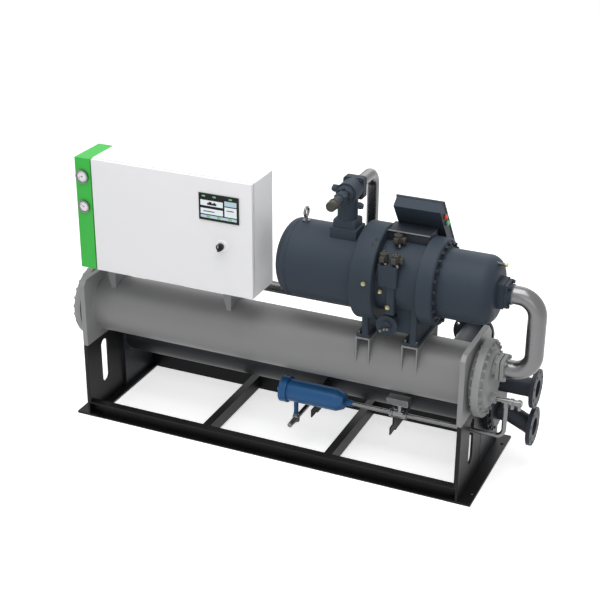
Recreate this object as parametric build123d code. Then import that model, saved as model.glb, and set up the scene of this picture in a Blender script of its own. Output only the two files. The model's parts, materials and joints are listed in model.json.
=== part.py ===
"""Water-cooled screw chiller on a steel base, seen from its front right.

Millimetres, +X along the machine towards the pipe end, +Y to the rear, +Z up.
The origin is the middle of the four anchor holes, on the floor.
"""
from math import cos, radians, sin, sqrt
import os

from build123d import *

# base frame
anchor_spacing_x = 2550
anchor_spacing_y = 600
anchor_hole = 22
anchor_edge = 25
foot_length = 840
foot_width = 145
foot_thickness = 14
rail_height = 100
rail_depth = 54
rail_web = 6
rail_flange = 9
front_rail_y = -420
back_rail_y = 345
crossbar_x = 404
crossbar_width = 50
crossbar_height = 88

# legs under the evaporator
leg_outer_x = 1222
leg_thickness = 14
leg_flange = 26
leg_height = 497
leg_rear_y = -6
slot_y = -205
slot_width = 74
slot_bottom = 150
slot_top = 446

# front vessel, the evaporator
evap_y = -165
evap_z = 701
evap_radius = 178
evap_wall = 9
sheet_thickness = 32
evap_sheet_y0 = -420
evap_sheet_y1 = 80
evap_sheet_top = 934
evap_sheet_corner = 60
evap_sheet_waist = 625
cap_radius = 225
cap_flange = 44
cap_gap = 28
cap_dome = 26
cap_dome_slope = 18
evap_nozzle_x = 1036
evap_nozzle_face = 374

# rear vessel, the condenser
cond_y = 172
cond_z = 386
cond_radius = 162
cond_wall = 8
cond_sheet_y0 = 2
cond_sheet_y1 = 372
cond_sheet_top = 575
cond_sheet_corner = 60
cond_sheet_shoulder = 120
cover_radius = 190
cover_thickness = 36
cover_pad = 22
cond_nozzle_face = 1495
upper_nozzle_rise = 126
lower_nozzle_drop = 126
lower_nozzle_start = 66

# water flanges
small_flange_radius = 117.5
small_flange_thickness = 26
small_pipe_radius = 57
small_pipe_wall = 4
small_bolt_circle = 190
big_flange_radius = 125
big_flange_thickness = 24
big_pipe_radius = 70
big_pipe_wall = 5
big_bolt_circle = 210
flange_bolts = 8
flange_bolt_hole = 20

# compressor, on one axis over the evaporator
comp_y = evap_y
comp_z = 1237
drum_radius = 225
drum_left = 18
drum_head = 95
ring1_left = 535
ring1_right = 668
ring1_radius = 277
barrel_radius = 208
ring2_left = 915
ring2_right = 1005
ring2_radius = 248
ring2_lip = 18
motor_radius = 196
motor_right = 1316
motor_shoulder = 80
cast_edge = 12

# feet of the compressor and their saddles on the evaporator
saddle_rise = 11
foot1_x0 = 550
foot1_x1 = 635
foot2_x0 = 825
foot2_x1 = 920
foot_base = 18
foot_half_y = 172
foot_wall = 42
saddle_plate = 10
saddle_wall = 8
saddle_reach = 5

# cast details of the rotor housing
sump_x0 = 775
sump_half_y = 150
sump_rise = 65
oil_cover_x = 745
oil_cover_z = 1010
oil_cover_radius = 62
oil_cover_y = -378
rib_x0 = 735
rib_y = -386
rib_z0 = 1085
pilot_x0 = 684
pilot_x1 = 800
pilot_y = -392
pilot_z0 = 1250
pilot_z1 = 1372
coil_radius = 24
coil_length = 52
coil_front_y = -346
coil_back_y = -225

# terminal box, leaning over the back of the compressor
box_left_gap = 1
box_x1 = 950
box_lean = 53.7
box_depth = 77
box_length = 424
box_front_y = -138
box_front_z = 1628
pedestal_x1 = 900
pedestal_width = 190
box_lid = 12
box_step = 4
lamp_radius = 15
lamp_red_at = 96
lamp_green_at = 157

# discharge valve, eye bolt and suction flange
valve_x = 433
valve_rise = 209
valve_neck_y = -205
valve_flange_y = -130
valve_flange_half = 62
valve_flange_plate = 23
valve_body_radius = 62
valve_neck_radius = 57
valve_stem_radius = 27
valve_stem_tip = -455
valve_bonnet = 34
valve_flange_groove = 2
valve_flange_corner = 18
pad_half = 43
pad_rise = 19
eye_x = 167
eye_ring = 26
eye_wire = 8
eye_neck = 30
suction_half_y = 62
suction_half_z = 76
suction_body = 36
suction_plate = 20

# pipes
pipe_radius = 52
suction_bend = 110
suction_x = 1533
suction_z = 786
stub_radius = 62
joint_half = 66
joint_plate = 21
joint_groove = 5
gas_radius = 35
gas_bend = 80
gas_y = 182
gas_z = 839
gas_left_x = -900
liquid_radius = 14
liquid_y = -205
liquid_z = 372
liquid_bend = 50
feed_x = 1406
feed_z = 603

# filter drier, valves and hangers on the liquid line
drier_y = -220
drier_z = 385
drier_radius = 68
drier_x0 = 45
drier_x1 = 446
drier_flange = 80
drier_flange_width = 46
drier_cone = 45
drier_end_radius = 48
outlet_x = 128
outlet_y = -212
outlet_z = 192
outlet_bend = 20
angle_body = 22
angle_cap = 15
angle_cap_tip = -308
stub_collar = 17
expansion_x0 = 724
expansion_x1 = 829
expansion_radius = 24
expansion_box_x0 = 720
expansion_box_x1 = 850
expansion_box_y0 = -260
expansion_box_y1 = -198
expansion_box_z0 = 454
expansion_box_z1 = 494
expansion_box_slope = 40
expansion_neck = 15
expansion_neck_x = 785
hanger_plate = 8
hanger_bottom = 240
hanger_front = -245
hanger_height = 50
hanger_notch_y = -155
hanger_notch = 13
hanger_rest_y = -196
hanger1_x = 242
hanger2_x = 742
service_x1 = 1500
service_radius = 17
service_cap_drop = 42
tee_collar = 19

# control cabinet
cab_x0 = -1192
cab_x1 = -50
cab_y0 = -425
cab_y1 = -157
cab_z0 = 1037
cab_z1 = 1730
strip_width = 102
sheet_metal = 2.5
door_depth = 24
door_gap = 8.5
door_back_gap = 6.5
hinge_dx = 6.5
hinge_dy = 7.5
hinge_pin = 2.5
hinge_knuckle = 4.5
hinge_half = 15
hinge_lug = 22
hinge_inset = 110
running = 0.05
bracket_width = 50
bracket_front = -265
bracket_back = -65
bracket_wall = 6
bracket_knee = 870
bracket1_x = -1112
bracket2_x = -322
mounting_margin = 60
standoff = 14

# gauges, screen and main switch
gauge_x = -1144
gauge_upper_z = 1618
gauge_lower_z = 1432
gauge_upper_radius = 42
gauge_lower_radius = 39
gauge_rim = 12
screen_x0 = -380
screen_x1 = -129
screen_z0 = 1480
screen_z1 = 1640
screen_depth = 6
switch_x = -241
switch_z = 1337
switch_radius = 33
switch_plate_depth = 8
knob_radius = 22
knob_shaft = 8
knob_gap = 5.5
knob_depth = 38

# clearances and cutter overrun
seat = 0.3
over = 1


def along_x(sketch, x0, x1):
    """Extrude a sketch drawn in (y, z) from x0 to x1."""
    plane = Plane(origin=(x0, 0, 0), x_dir=(0, 1, 0), z_dir=(1, 0, 0))
    return extrude(plane * sketch, amount=x1 - x0)


def disc_x(radius, x0, x1, y, z, bore=0):
    """A round disc or tube whose axis runs along X."""
    sketch = Pos(y, z) * Circle(radius)
    if bore:
        sketch -= Pos(y, z) * Circle(bore)
    return along_x(sketch, x0, x1)


def disc_y(radius, y0, y1, x, z, bore=0):
    """A round disc or tube whose axis runs along Y."""
    sketch = Circle(radius)
    if bore:
        sketch -= Circle(bore)
    plane = Plane(origin=(x, y0, z), x_dir=(-1, 0, 0), z_dir=(0, 1, 0))
    return extrude(plane * sketch, amount=y1 - y0)


def disc_z(radius, z0, z1, x, y, bore=0):
    """A round disc or tube whose axis runs along Z."""
    sketch = Pos(x, y) * Circle(radius)
    if bore:
        sketch -= Pos(x, y) * Circle(bore)
    return extrude(Plane.XY.offset(z0) * sketch, amount=z1 - z0)


def pipe(points, radius, bend, bore=0):
    """A bent round pipe along straight runs with rounded corners."""
    path = FilletPolyline(*points, radius=bend)
    section = Circle(radius)
    if bore:
        section -= Circle(bore)
    start = Plane(origin=path @ 0, z_dir=path % 0)
    return sweep(start * section, path=path)


def block(x0, x1, y0, y1, z0, z1):
    """A rectangular block between two corners."""
    return Pos((x0 + x1) / 2, (y0 + y1) / 2, (z0 + z1) / 2) * Box(x1 - x0, y1 - y0, z1 - z0)


def plate_x(x0, x1, y, z, half_y, half_z, corner):
    """A rectangular flange with rounded corners, facing along X."""
    return along_x(Pos(y, z) * RectangleRounded(2 * half_y, 2 * half_z, corner), x0, x1)


def plate_z(z0, z1, x, y, half, corner):
    """A square flange with rounded corners, facing up."""
    sketch = Pos(x, y) * RectangleRounded(2 * half, 2 * half, corner)
    return extrude(Plane.XY.offset(z0) * sketch, amount=z1 - z0)


def plate_y(y0, y1, x, z, half_x, half_z, corner):
    """A rectangular flange with rounded corners, facing along Y."""
    plane = Plane(origin=(x, y0, z), x_dir=(-1, 0, 0), z_dir=(0, 1, 0))
    return extrude(plane * RectangleRounded(2 * half_x, 2 * half_z, corner), amount=y1 - y0)


def round_edges(shape):
    """The round edges of a turned piece, from left to right."""
    return shape.edges().filter_by(GeomType.CIRCLE).sort_by(Axis.X)


def save(node, shape):
    """Write one piece to its own file."""
    export_step(shape, "parts/" + node + ".step")


os.makedirs("parts", exist_ok=True)

# base: foot plates, channel rails and two cross bars
foot_x = anchor_spacing_x / 2 + anchor_edge - foot_width / 2
leg_inner_x = leg_outer_x - leg_thickness
shell_end = leg_outer_x - sheet_thickness
for side, name in ((-1, "left"), (1, "right")):
    foot = Pos(side * foot_x, 0, foot_thickness / 2) * Box(foot_width, foot_length, foot_thickness)
    for end in (-1, 1):
        foot -= disc_z(anchor_hole / 2, -over, foot_thickness + over,
                       side * anchor_spacing_x / 2, end * anchor_spacing_y / 2)
    save(name + "_foot_plate", foot)


def rail(y0, opening, length):
    """A channel rail between the legs, open to the front or to the rear."""
    middle = y0 + rail_depth / 2
    body = along_x(Pos(middle, rail_height / 2) * Rectangle(rail_depth, rail_height), -length, length)
    inner = Rectangle(rail_depth, rail_height - 2 * rail_flange)
    body -= along_x(Pos(middle + opening * rail_web, rail_height / 2) * inner, -length, length)
    for side in (-1, 1):
        body -= Pos(side * foot_x, middle, 0) * Box(foot_width + over, rail_depth + over, 2 * foot_thickness)
    return body


save("front_rail", rail(front_rail_y, -1, leg_inner_x))
save("back_rail", rail(back_rail_y, 1, shell_end))
bars = []
for side in (-1, 1):
    bars.append(block(side * crossbar_x - crossbar_width / 2, side * crossbar_x + crossbar_width / 2,
                      front_rail_y + rail_depth, back_rail_y, rail_height - crossbar_height, rail_height))
save("cross_bars", Compound(children=bars))

# legs: a slotted plate with a folded front edge
for side, name in ((-1, "left"), (1, "right")):
    outer = side * leg_outer_x
    inner = side * leg_inner_x
    face = Pos((front_rail_y + leg_rear_y) / 2, (foot_thickness + leg_height) / 2) * Rectangle(
        leg_rear_y - front_rail_y, leg_height - foot_thickness)
    slot = Pos(slot_y, (slot_bottom + slot_top) / 2) * Rot(0, 0, 90) * SlotOverall(
        slot_top - slot_bottom, slot_width)
    plate = along_x(face - slot, min(outer, inner), max(outer, inner))
    edge = outer - side * leg_flange
    fold = block(min(outer, edge), max(outer, edge), front_rail_y, front_rail_y + leg_thickness,
                 rail_height, leg_height)
    save(name + "_leg", plate + fold)


def bolt_holes(circle, start, end, across, up, disc):
    """Bolt holes round a water flange, half a pitch off its top."""
    holes = []
    for step in range(flange_bolts):
        angle = radians(360 / flange_bolts * (step + 0.5))
        holes.append(disc(flange_bolt_hole / 2, start - over, end + over,
                          across + circle / 2 * cos(angle), up + circle / 2 * sin(angle)))
    return holes


# evaporator: shell, tube sheets, bolted caps and water nozzles on its rear
joint_x0 = leg_outer_x + cap_gap + cap_flange + cap_dome + cap_dome_slope
feed_start = joint_x0 + liquid_radius
save("evaporator_shell", disc_x(evap_radius, -shell_end, shell_end, evap_y, evap_z,
                                evap_radius - evap_wall))
evap_outline = [(evap_sheet_y0, leg_height), (evap_sheet_y0, evap_sheet_top - evap_sheet_corner / 2),
                (evap_sheet_y0 + evap_sheet_corner / 2, evap_sheet_top),
                (evap_sheet_y1 - evap_sheet_corner, evap_sheet_top),
                (evap_sheet_y1, evap_sheet_top - evap_sheet_corner),
                (evap_sheet_y1, evap_sheet_waist), (leg_rear_y, leg_height)]
cond_outline = [(cond_sheet_y0, foot_thickness), (cond_sheet_y0, cond_sheet_top - cond_sheet_shoulder),
                (cond_sheet_y0 + cond_sheet_corner, cond_sheet_top),
                (cond_sheet_y1 - cond_sheet_corner, cond_sheet_top),
                (cond_sheet_y1, cond_sheet_top - cond_sheet_corner), (cond_sheet_y1, foot_thickness)]
for side, name in ((-1, "left"), (1, "right")):
    x0, x1 = sorted((side * shell_end, side * leg_outer_x))
    save("evaporator_" + name + "_tube_sheet", along_x(make_face(Polyline(*evap_outline, close=True)), x0, x1))
    save("condenser_" + name + "_tube_sheet", along_x(make_face(Polyline(*cond_outline, close=True)), x0, x1))
    gasket_end = leg_outer_x + cap_gap
    ring_end = gasket_end + cap_flange
    dome_end = ring_end + cap_dome
    neck = disc_x(evap_radius, side * leg_outer_x, side * gasket_end, evap_y, evap_z)
    ring = disc_x(cap_radius, side * gasket_end, side * ring_end, evap_y, evap_z)
    dome = disc_x(evap_radius - evap_wall, side * ring_end, side * dome_end, evap_y, evap_z)
    dome = chamfer(round_edges(dome)[-1 if side > 0 else 0], cap_dome_slope)
    cap = neck + ring + dome
    if side > 0:
        cap += disc_x(stub_radius, ring_end, joint_x0, evap_y, suction_z)
        cap += disc_x(2 * liquid_radius, ring_end, feed_start, liquid_y, feed_z)
    save("evaporator_" + name + "_cap", cap)
    nozzle_x = side * evap_nozzle_x
    bore = big_pipe_radius - big_pipe_wall
    flange_back = evap_nozzle_face - big_flange_thickness
    nozzle = disc_y(big_pipe_radius, evap_y, flange_back, nozzle_x, evap_z, bore)
    nozzle += disc_y(big_flange_radius, flange_back, evap_nozzle_face, nozzle_x, evap_z, bore)
    nozzle -= disc_x(evap_radius + seat, -shell_end, shell_end, evap_y, evap_z)
    nozzle -= bolt_holes(big_bolt_circle, flange_back, evap_nozzle_face, nozzle_x, evap_z, disc_y)
    save("evaporator_" + ("inlet" if side < 0 else "outlet"), nozzle)

# condenser: shell and bolted covers, with two flanged nozzles in the right one
save("condenser_shell", disc_x(cond_radius, -shell_end, shell_end, cond_y, cond_z,
                               cond_radius - cond_wall))
pad_start = leg_outer_x + cover_thickness
pad_end = pad_start + cover_pad
upper_z = cond_z + upper_nozzle_rise
lower_z = cond_z - lower_nozzle_drop
for side, name in ((-1, "left"), (1, "right")):
    cover = disc_x(cover_radius, side * leg_outer_x, side * pad_start, cond_y, cond_z)
    pad = disc_x(cond_radius, side * pad_start, side * pad_end, cond_y, cond_z)
    cover += chamfer(round_edges(pad)[-1 if side > 0 else 0], cover_pad / 2)
    if side > 0:
        cover -= disc_x(small_pipe_radius, pad_start, pad_end + over, cond_y, upper_z)
    save("condenser_" + name + "_cap", cover)
flange_back = cond_nozzle_face - small_flange_thickness
bore = small_pipe_radius - small_pipe_wall
upper = disc_x(small_pipe_radius, pad_start, flange_back, cond_y, upper_z, bore)
start_z = cond_z - lower_nozzle_start
bend_x = pad_end + small_pipe_radius
ends = (Plane(origin=(bend_x, cond_y, start_z), z_dir=(1, 0, 0)),
        Plane(origin=(flange_back, cond_y, lower_z), z_dir=(1, 0, 0)))
lower = loft([end * Circle(small_pipe_radius) for end in ends])
lower -= loft([end * Circle(bore) for end in ends])
lower += disc_x(small_pipe_radius, pad_end, bend_x, cond_y, start_z, bore)
for name, tube, z in (("outlet", upper, upper_z), ("inlet", lower, lower_z)):
    nozzle = tube + disc_x(small_flange_radius, flange_back, cond_nozzle_face, cond_y, z, bore)
    nozzle -= bolt_holes(small_bolt_circle, flange_back, cond_nozzle_face, cond_y, z, disc_x)
    save("condenser_" + name, nozzle)

# oil separator drum with its dished head and the pad of the discharge valve
head_x = drum_left + drum_head
head = make_face([Line((drum_left, 0), (head_x, 0)), Line((head_x, 0), (head_x, drum_radius)),
                  EllipticalCenterArc((head_x, 0), drum_head, drum_radius, start_angle=90, arc_size=90)])
head = revolve(Plane.XZ * head, axis=Axis.X)
drum = Pos(0, comp_y, comp_z) * head + disc_x(drum_radius, head_x, ring1_left, comp_y, comp_z)
pad_top = comp_z + drum_radius + pad_rise
valve_z = pad_top + valve_rise
pad = block(valve_x - pad_half, valve_x + pad_half, valve_neck_y - pad_half, valve_neck_y + pad_half,
            comp_z, pad_top)
drum += fillet(pad.edges().filter_by(Axis.Z), cast_edge)
save("oil_separator", drum)

# rotor housing: the cast middle of the compressor, with its feet, sump, ribs and pads
ring1 = disc_x(ring1_radius, ring1_left, ring1_right, comp_y, comp_z)
rotor = fillet(round_edges(ring1), cast_edge) + disc_x(barrel_radius, ring1_right, ring2_left, comp_y, comp_z)
saddle_top = evap_z + evap_radius + saddle_rise
sump_bottom = saddle_top + sump_rise
foot_front = comp_y - foot_half_y
foot_rear = comp_y + foot_half_y
wall_top = comp_z - barrel_radius / 2


def cast_block(x0, x1, y0, y1, z0, z1):
    """A block of the casting with its upright edges rounded."""
    piece = block(x0, x1, y0, y1, z0, z1)
    return fillet(piece.edges().filter_by(Axis.Z), cast_edge)


for x0, x1 in ((foot1_x0, foot1_x1), (foot2_x0, foot2_x1)):
    rotor += cast_block(x0, x1, foot_front, foot_rear, saddle_top, saddle_top + foot_base)
    wall_end = min(x1 - cast_edge, ring2_left)
    rotor += cast_block(wall_end - foot_wall, wall_end, foot_front, foot_rear, saddle_top, wall_top)
rotor += cast_block(sump_x0, foot2_x1 - foot_wall, comp_y - sump_half_y, comp_y + sump_half_y,
                    sump_bottom, wall_top)
rotor += cast_block(rib_x0, sump_x0 + cast_edge, rib_y, comp_y, rib_z0, pilot_z0 + over)
rotor += cast_block(pilot_x0, pilot_x1, pilot_y, comp_y, pilot_z0, pilot_z1)
for radius, y0 in ((oil_cover_radius, oil_cover_y), (oil_cover_radius / 2, oil_cover_y - cast_edge),
                   (oil_cover_radius - cast_edge, comp_y - barrel_radius / 2)):
    rotor += disc_y(radius, y0, oil_cover_y + foot_base, oil_cover_x, oil_cover_z)
turn = radians(box_lean)
box_under = (box_front_y - comp_y) * sin(turn) + (box_front_z - comp_z) * cos(turn)
pedestal = Pos(comp_y, comp_z) * Rot(0, 0, -box_lean) * Pos(0, box_under / 2) * Rectangle(
    pedestal_width, box_under)
rotor += along_x(pedestal, ring1_right, pedestal_x1)
save("rotor_housing", rotor)

# motor housing with its bolted flange and dished end
ring2 = disc_x(ring2_radius, ring2_left, ring2_right, comp_y, comp_z)
ring2 = chamfer(round_edges(ring2)[-1], ring2_lip / 2)
motor = disc_x(motor_radius, ring2_right, motor_right, comp_y, comp_z)
motor = fillet(round_edges(motor)[-1], motor_shoulder)
save("motor_housing", ring2 + motor)

# saddles: an open channel on the evaporator under each foot
for x0, x1, name in ((foot1_x0, foot1_x1, "left"), (foot2_x0, foot2_x1, "right")):
    y0 = foot_front - saddle_reach
    y1 = foot_rear + saddle_reach
    saddle = block(x0, x1, y0, y1, evap_z, saddle_top)
    saddle -= block(x0 + saddle_wall, x1 - saddle_wall, y0 - over, y1 + over, evap_z - over,
                    saddle_top - saddle_plate)
    saddle -= disc_x(evap_radius + seat, -shell_end, shell_end, evap_y, evap_z)
    save("compressor_" + name + "_saddle", saddle)

# solenoid valves on the pilot block and on top of the barrel
coils = []
for x, y in ((pilot_x0 + coil_radius, coil_front_y), (pilot_x1 - coil_radius, coil_front_y),
             ((pilot_x0 + pilot_x1) / 2, coil_back_y)):
    barrel_top = comp_z + sqrt(barrel_radius ** 2 - (y + coil_radius - comp_y) ** 2)
    coil_z = barrel_top + coil_radius / 4
    coil = disc_z(coil_radius, coil_z, coil_z + coil_length, x, y)
    coil = fillet(coil.edges().filter_by(GeomType.CIRCLE), coil_radius / 6)
    coil += disc_z(coil_radius / 3, coil_z, coil_z + coil_length + coil_radius / 2, x, y)
    stem = disc_z(coil_radius / 2, comp_z, coil_z + over, x, y)
    stem -= disc_x(barrel_radius + seat, ring1_right - over, ring2_left, comp_y, comp_z)
    stem -= block(pilot_x0 - over, pilot_x1 + over, pilot_y - over, comp_y, comp_z, pilot_z1 + seat)
    coils.append(coil + stem)
save("solenoid_valves", Compound(children=coils))

# discharge valve: a neck, a turned body with bonnet and stem cap, and a square flange
neck_end = valve_neck_y - valve_body_radius / 2
bonnet_y = neck_end - valve_bonnet
bonnet_radius = valve_body_radius - cast_edge
collar_radius = valve_stem_radius + cast_edge / 2
stem_slope = valve_stem_radius / 3
valve_flange_end = valve_flange_y + 2 * valve_flange_plate + valve_flange_groove
turned = make_face(Polyline(
    (0, valve_stem_tip), (valve_stem_radius - stem_slope, valve_stem_tip),
    (valve_stem_radius, valve_stem_tip + stem_slope), (valve_stem_radius, bonnet_y - valve_bonnet),
    (collar_radius, bonnet_y - valve_bonnet), (collar_radius, bonnet_y),
    (bonnet_radius - stem_slope, bonnet_y), (bonnet_radius, bonnet_y + stem_slope),
    (bonnet_radius, neck_end), (valve_body_radius, neck_end), (valve_body_radius, valve_flange_y),
    (bonnet_radius, valve_flange_y), (bonnet_radius, valve_flange_end), (0, valve_flange_end), close=True))
valve = Pos(valve_x, 0, valve_z) * revolve(turned, axis=Axis.Y)
for y0 in (valve_flange_y, valve_flange_end - valve_flange_plate):
    valve += plate_y(y0, y0 + valve_flange_plate, valve_x, valve_z, valve_flange_half, valve_flange_half,
                     valve_flange_corner)
valve += disc_z(valve_neck_radius, pad_top, valve_z, valve_x, valve_neck_y)
valve += plate_z(pad_top, pad_top + valve_flange_plate, valve_x, valve_neck_y,
                 pad_half - cast_edge / 2, cast_edge)
boss_reach = valve_body_radius + valve_stem_radius
valve += disc_x(cast_edge, valve_x - boss_reach, valve_x, valve_neck_y, valve_z + cap_flange / 2)
valve += disc_x(cast_edge, valve_x, valve_x + boss_reach, valve_neck_y, valve_z - valve_body_radius - cast_edge)
save("discharge_valve", valve)

# lifting eye on top of the drum
drum_top = comp_z + drum_radius
eye_z = drum_top + eye_neck + eye_ring
eye = disc_z(eye_ring - eye_wire / 2, drum_top, drum_top + eye_wire, eye_x, comp_y)
eye += disc_z(eye_wire, drum_top, eye_z - eye_ring, eye_x, comp_y)
eye += Pos(eye_x, comp_y, eye_z) * Rot(0, 90, 0) * Torus(eye_ring, eye_wire)
save("eye_bolt", eye)

# suction flange on the end of the motor
suction_mid = motor_right + suction_body
suction_end = suction_mid + 2 * suction_plate
flange = plate_x(motor_right, suction_mid, comp_y, comp_z, suction_half_y, suction_half_z, cast_edge)
flange += plate_x(suction_mid, suction_mid + suction_plate, comp_y, comp_z, suction_half_y - cast_edge / 2,
                  suction_half_z - cast_edge / 2, cast_edge)
flange += disc_x(suction_half_y - cast_edge / 3, suction_mid, suction_end, comp_y, comp_z)
save("suction_flange", flange)

# terminal box: a leaning box under a lid with a drip edge
profile = Pos(box_front_y, box_front_z) * Rot(0, 0, -box_lean)
box_x0 = ring1_right + box_left_gap
lid = profile * Pos(box_length / 2, box_depth - box_lid / 2) * Rectangle(box_length, box_lid)
tray = profile * Pos(box_length / 2, (box_depth - box_lid) / 2) * Rectangle(
    box_length - 2 * box_step, box_depth - box_lid)
box = along_x(tray, box_x0 + box_step, box_x1 - box_step) + along_x(lid, box_x0, box_x1)
box -= disc_x(ring2_radius + seat, ring2_left - seat, ring2_right, comp_y, comp_z)
save("terminal_box", box)
lamps = []
lamp_x = box_x1 - box_step
for along in (lamp_red_at, lamp_green_at):
    lamp_y = box_front_y + along * cos(turn) + box_depth / 2 * sin(turn)
    lamp_z = box_front_z - along * sin(turn) + box_depth / 2 * cos(turn)
    lamps.append(disc_x(lamp_radius, lamp_x, lamp_x + lamp_radius, lamp_y, lamp_z))
save("indicator_lamps", Compound(children=lamps))

# suction line: a plated joint on the cap and a pipe up to the motor
joint_x1 = joint_x0 + 2 * joint_plate + joint_groove
joint = plate_x(joint_x0, joint_x0 + joint_plate, comp_y, suction_z, joint_half, joint_half, 2 * cast_edge)
joint += plate_x(joint_x1 - joint_plate, joint_x1, comp_y, suction_z, joint_half, joint_half, 2 * cast_edge)
joint += disc_x(pipe_radius, joint_x0, joint_x1, comp_y, suction_z)
save("evaporator_suction_flange", joint)
save("suction_pipe", pipe([(suction_end, comp_y, comp_z), (suction_x, comp_y, comp_z),
                           (suction_x, comp_y, suction_z), (joint_x1, comp_y, suction_z)],
                          pipe_radius, suction_bend))

# discharge line: over the back, along the rear and down into the condenser
gas = pipe([(valve_x, valve_flange_end, valve_z), (valve_x, gas_y, valve_z), (valve_x, gas_y, gas_z),
            (gas_left_x, gas_y, gas_z), (gas_left_x, gas_y, cond_z)], gas_radius, gas_bend)
gas -= disc_x(cond_radius + seat, -shell_end, shell_end, cond_y, cond_z)
save("discharge_pipe", gas)

# liquid line: out of the condenser, through valve and drier to the evaporator
drier_neck_x = drier_x1 + drier_cone
liquid = pipe([(drier_neck_x, liquid_y, liquid_z), (feed_x, liquid_y, liquid_z), (feed_x, liquid_y, feed_z)],
              liquid_radius, liquid_bend)
liquid += disc_x(liquid_radius, feed_start, feed_x + tee_collar, liquid_y, feed_z)
liquid += disc_x(tee_collar, feed_x - tee_collar, feed_x + tee_collar, liquid_y, feed_z)
liquid += disc_z(tee_collar - seat, feed_z - 2 * tee_collar, feed_z, feed_x, liquid_y)
outlet = pipe([(outlet_x, outlet_y + angle_body, outlet_z), (outlet_x, cond_y, outlet_z),
               (outlet_x, cond_y, cond_z)], liquid_radius, outlet_bend)
outlet -= disc_x(cond_radius + seat, -shell_end, shell_end, cond_y, cond_z)
save("liquid_pipe", Compound(children=[liquid, outlet]))

# filter drier: a bolted end, a drum and a coned end
body_start = drier_x0 + drier_flange_width
drier = make_face(Polyline((body_start, 0), (body_start, drier_radius), (drier_x1 - drier_cone, drier_radius),
                           (drier_x1, drier_end_radius), (drier_x1, 0), close=True))
drier = Pos(0, drier_y, drier_z) * revolve(Plane.XZ * drier, axis=Axis.X)
drier += disc_x(tee_collar, drier_x1, drier_neck_x, liquid_y, liquid_z)
groove = drier_flange_width / 2
drier += disc_x(drier_flange, drier_x0, body_start - groove - seat, drier_y, drier_z)
drier += disc_x(drier_flange - seat, drier_x0 + groove + seat, body_start, drier_y, drier_z)
drier += disc_x(drier_radius, drier_x0, body_start, drier_y, drier_z)
drier += disc_z(liquid_radius, outlet_z + angle_body + liquid_radius, drier_z, outlet_x, outlet_y)
save("filter_drier", drier)

# angle valve under the drier and service valve on the feed
angle = disc_z(angle_body, outlet_z - angle_body, outlet_z + angle_body, outlet_x, outlet_y)
angle = fillet(angle.edges().filter_by(GeomType.CIRCLE), angle_body / 3)
angle += disc_z(stub_collar, outlet_z, outlet_z + angle_body + liquid_radius, outlet_x, outlet_y)
angle += disc_y(stub_collar, outlet_y, outlet_y + angle_body, outlet_x, outlet_z)
angle += disc_y(angle_cap, angle_cap_tip, outlet_y, outlet_x, outlet_z)
angle += disc_y(stub_collar, (angle_cap_tip + outlet_y) / 2, outlet_y - angle_body, outlet_x, outlet_z)
service_x0 = feed_x + tee_collar
service = disc_x(service_radius, service_x0, service_x1, liquid_y, feed_z)
for x in (service_x0 + service_radius, service_x1 - service_radius):
    service += disc_z(service_radius * 2 / 3, feed_z - service_cap_drop, feed_z, x, liquid_y)
    service += disc_x(service_radius * 4 / 3, x - service_radius / 2, x + service_radius / 2, liquid_y, feed_z)
save("service_valves", Compound(children=[angle, service]))

# expansion valve: a sleeve on the line under its drive box
sleeve = disc_x(expansion_radius, expansion_x0, expansion_x1, liquid_y, liquid_z, liquid_radius + seat)
sleeve += disc_z(expansion_neck, liquid_z + liquid_radius + expansion_neck / 3, expansion_box_z0,
                 expansion_neck_x, liquid_y)
drive = Plane.XZ * make_face(Polyline(
    (expansion_box_x0, expansion_box_z1), (expansion_box_x1, expansion_box_z1),
    (expansion_box_x1, expansion_box_z0), (expansion_box_x0 + expansion_box_slope, expansion_box_z0),
    (expansion_box_x0, (expansion_box_z0 + expansion_box_z1) / 2), close=True))
drive = extrude(Pos(0, expansion_box_y0, 0) * drive, amount=expansion_box_y1 - expansion_box_y0, dir=(0, 1, 0))
save("expansion_valve", sleeve + drive)

# hangers: slotted plates on the condenser that carry the drier and the line
hangers = []
hanger_top = hanger_bottom + hanger_height
for x, y, z, radius in ((hanger1_x, drier_y, drier_z, drier_radius),
                        (hanger2_x, liquid_y, liquid_z, expansion_radius)):
    side_view = make_face(Polyline(
        (hanger_front, hanger_bottom), (hanger_front, hanger_top), (hanger_rest_y, hanger_top),
        (hanger_rest_y, z), (cond_y, z), (cond_y, hanger_bottom - hanger_notch),
        (hanger_notch_y, hanger_bottom - hanger_notch), (hanger_notch_y, hanger_bottom), close=True))
    plate = along_x(side_view, x - hanger_plate / 2, x + hanger_plate / 2)
    plate -= disc_x(radius + seat, x - hanger_plate, x + hanger_plate, y, z)
    plate -= disc_x(cond_radius + seat, x - hanger_plate, x + hanger_plate, cond_y, cond_z)
    hangers.append(plate)
save("pipe_hangers", Compound(children=hangers))

# cabinet: a green end cover with two gauges beside an open box with a mounting plate
strip_x1 = cab_x0 + strip_width
cover = block(cab_x0, strip_x1, cab_y0, cab_y1, cab_z0, cab_z1)
cover -= block(cab_x0 + sheet_metal, strip_x1 - sheet_metal, cab_y0 + sheet_metal, cab_y1 - sheet_metal,
               cab_z0 + sheet_metal, cab_z1 - sheet_metal)
gauges = []
for z, radius in ((gauge_upper_z, gauge_upper_radius), (gauge_lower_z, gauge_lower_radius)):
    inner = radius - gauge_rim / 2
    cover -= disc_y(inner + seat, cab_y0 - over, cab_y0 + sheet_metal + over, gauge_x, z)
    gauge = disc_y(radius, cab_y0 - gauge_rim, cab_y0, gauge_x, z)
    gauge += disc_y(inner, cab_y0, cab_y0 + 3 * gauge_rim, gauge_x, z)
    gauge -= disc_y(inner - gauge_rim / 4, cab_y0 - gauge_rim - over, cab_y0 - gauge_rim / 2, gauge_x, z)
    gauges.append(gauge)
save("cabinet_end_cover", cover)
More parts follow.
